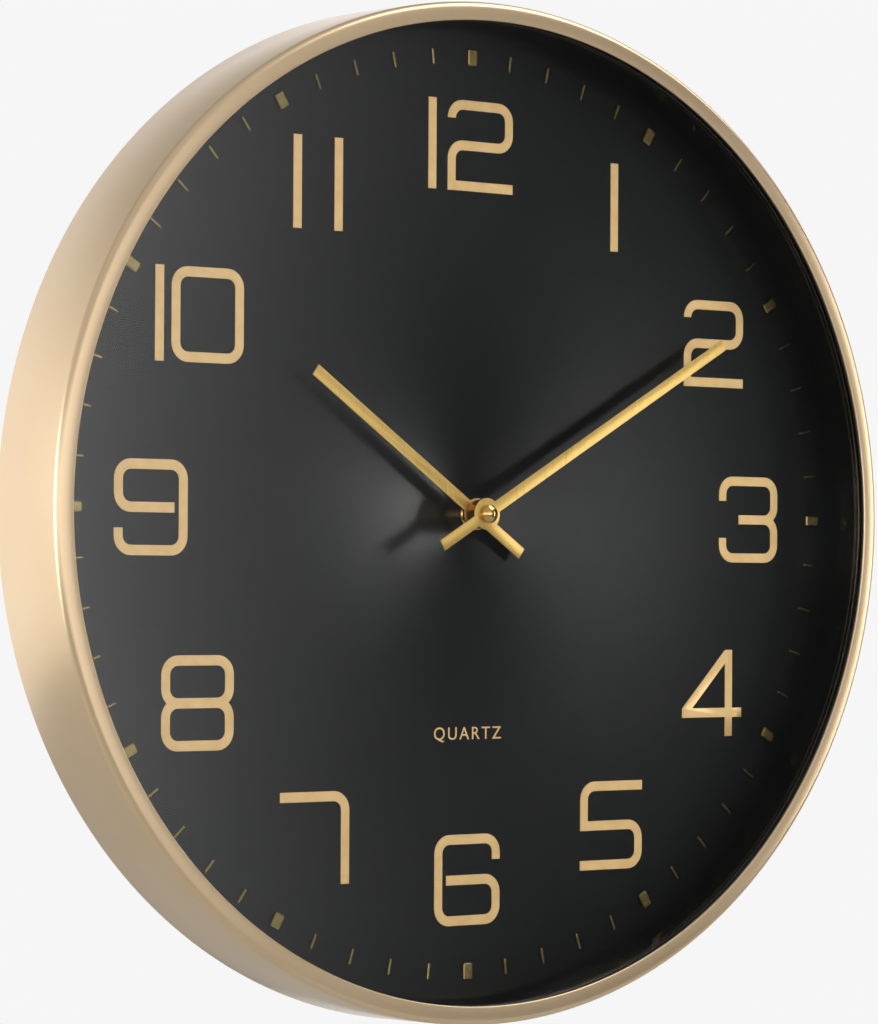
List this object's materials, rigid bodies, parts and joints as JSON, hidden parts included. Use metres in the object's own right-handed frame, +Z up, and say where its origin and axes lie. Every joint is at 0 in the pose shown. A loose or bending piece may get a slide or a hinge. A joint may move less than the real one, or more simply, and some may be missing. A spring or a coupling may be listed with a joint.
{
  "type": "quartz wall clock",
  "caption": "Round wall clock with a shallow gold metal case, a black dial under glass, gold numerals and straight hands, driven by a battery quartz movement.",
  "frame": {"origin": "on the axis of the hands, in the plane of the wall that the case's rear rim rests on", "axes": "+X to the right as the dial is read, +Y into the wall, +Z up towards twelve"},
  "size_m": [0.4034, 0.0406, 0.4034],
  "materials": {
    "champagne_case": "satin anodised",
    "black_gloss_ring": "gloss",
    "black_rubber": "matte",
    "clear_glass": "polished",
    "black_dial": "satin black lacquer",
    "black_plastic": "moulded",
    "gold_numerals": "satin",
    "gold_markers": "polished",
    "gold_hands": "satin",
    "polished_brass": "polished",
    "black_steel": "matte paint",
    "zinc_steel": "zinc plated",
    "steel": "turned",
    "white_gears": "moulded",
    "rotor_magnet": "moulded magnet",
    "copper_wire": "enamelled wire",
    "green_board": "solder mask",
    "black_epoxy": "gloss",
    "bright_metal": "bright",
    "cell_jacket": "satin sleeve"
  },
  "bodies": {
    "clock_case": {"case_shell": "champagne_case", "lens_gasket": "black_rubber", "lens": "clear_glass", "inner_ring": "black_gloss_ring", "dial_plate": "black_dial", "dial_spacer": "black_plastic", "numeral_1": "gold_numerals", "numeral_2": "gold_numerals", "numeral_3": "gold_numerals", "numeral_4": "gold_numerals", "numeral_5": "gold_numerals", "numeral_6": "gold_numerals", "numeral_7": "gold_numerals", "numeral_8": "gold_numerals", "numeral_9": "gold_numerals", "numeral_10": "gold_numerals", "numeral_11": "gold_numerals", "numeral_12": "gold_numerals", "hour_markers": "gold_markers", "minute_markers": "gold_markers", "back_cover": "black_steel", "hanger_plate": "zinc_steel", "hanger_rivets": "zinc_steel", "back_cover_screws": "zinc_steel", "mounting_lugs": "zinc_steel", "movement_housing": "black_plastic", "movement_lid": "black_plastic", "housing_screws": "zinc_steel", "centre_bush": "polished_brass", "dial_washer": "black_rubber", "brass_washer": "polished_brass", "fixing_nut": "polished_brass", "stator": "steel", "coil_core": "steel", "coil_bobbin": "black_plastic", "coil_winding": "copper_wire", "circuit_board": "green_board", "timing_chip": "black_epoxy", "quartz_crystal": "bright_metal", "positive_contact": "bright_metal", "negative_contact": "bright_metal"},
    "minute_arbor": {"minute_arbor": "steel", "minute_hand": "gold_hands", "minute_hand_collar": "polished_brass", "cap_nut": "polished_brass", "clutch_spring": "steel"},
    "hour_wheel": {"hour_wheel": "white_gears", "hour_hand": "gold_hands", "hour_hand_collar": "polished_brass"},
    "motion_wheel": {"motion_wheel": "white_gears"},
    "setting_knob": {"setting_knob": "black_plastic"},
    "second_wheel": {"second_wheel": "white_gears"},
    "third_wheel": {"third_wheel": "white_gears"},
    "centre_wheel": {"centre_wheel": "white_gears"},
    "fifth_wheel": {"fifth_wheel": "white_gears"},
    "rotor": {"rotor": "rotor_magnet"},
    "battery": {"battery": "cell_jacket"}
  },
  "joints": [
    {"name": "minute_turn", "type": "hinge", "parent": "clock_case", "child": "minute_arbor", "pos_m": [0, 0, 0], "axis": [0, 1, 0], "continuous": true},
    {"name": "hour_turn", "type": "hinge", "parent": "clock_case", "child": "hour_wheel", "pos_m": [0, 0, 0], "axis": [0, 1, 0], "continuous": true},
    {"name": "motion_turn", "type": "hinge", "parent": "clock_case", "child": "motion_wheel", "pos_m": [-0.012, 0, 0], "axis": [0, 1, 0], "continuous": true},
    {"name": "setting_turn", "type": "hinge", "parent": "clock_case", "child": "setting_knob", "pos_m": [-0.02049, 0, 0.00849], "axis": [0, 1, 0], "continuous": true},
    {"name": "second_turn", "type": "hinge", "parent": "clock_case", "child": "second_wheel", "pos_m": [0.00425, 0, 0.01576], "axis": [0, 1, 0], "continuous": true},
    {"name": "third_turn", "type": "hinge", "parent": "clock_case", "child": "third_wheel", "pos_m": [0.01001, 0, 0.00578], "axis": [0, 1, 0], "continuous": true},
    {"name": "centre_turn", "type": "hinge", "parent": "clock_case", "child": "centre_wheel", "pos_m": [0, 0, 0], "axis": [0, 1, 0], "continuous": true},
    {"name": "fifth_turn", "type": "hinge", "parent": "clock_case", "child": "fifth_wheel", "pos_m": [-0.00417, 0, 0.01882], "axis": [0, 1, 0], "continuous": true},
    {"name": "rotor_turn", "type": "hinge", "parent": "clock_case", "child": "rotor", "pos_m": [-0.01007, 0, 0.01469], "axis": [0, 1, 0], "continuous": true},
    {"name": "battery_out", "type": "slide", "parent": "clock_case", "child": "battery", "axis": [0, 1, 0], "range_m": [0, 0.022]}
  ],
  "couplings": [
    {"joint": "hour_turn", "follows": "minute_turn", "ratio": 0.083333},
    {"joint": "motion_turn", "follows": "minute_turn", "ratio": -0.33333},
    {"joint": "setting_turn", "follows": "minute_turn", "ratio": 1},
    {"joint": "third_turn", "follows": "second_turn", "ratio": -0.125},
    {"joint": "centre_turn", "follows": "second_turn", "ratio": 0.016667},
    {"joint": "fifth_turn", "follows": "second_turn", "ratio": -6},
    {"joint": "rotor_turn", "follows": "second_turn", "ratio": 30}
  ]
}
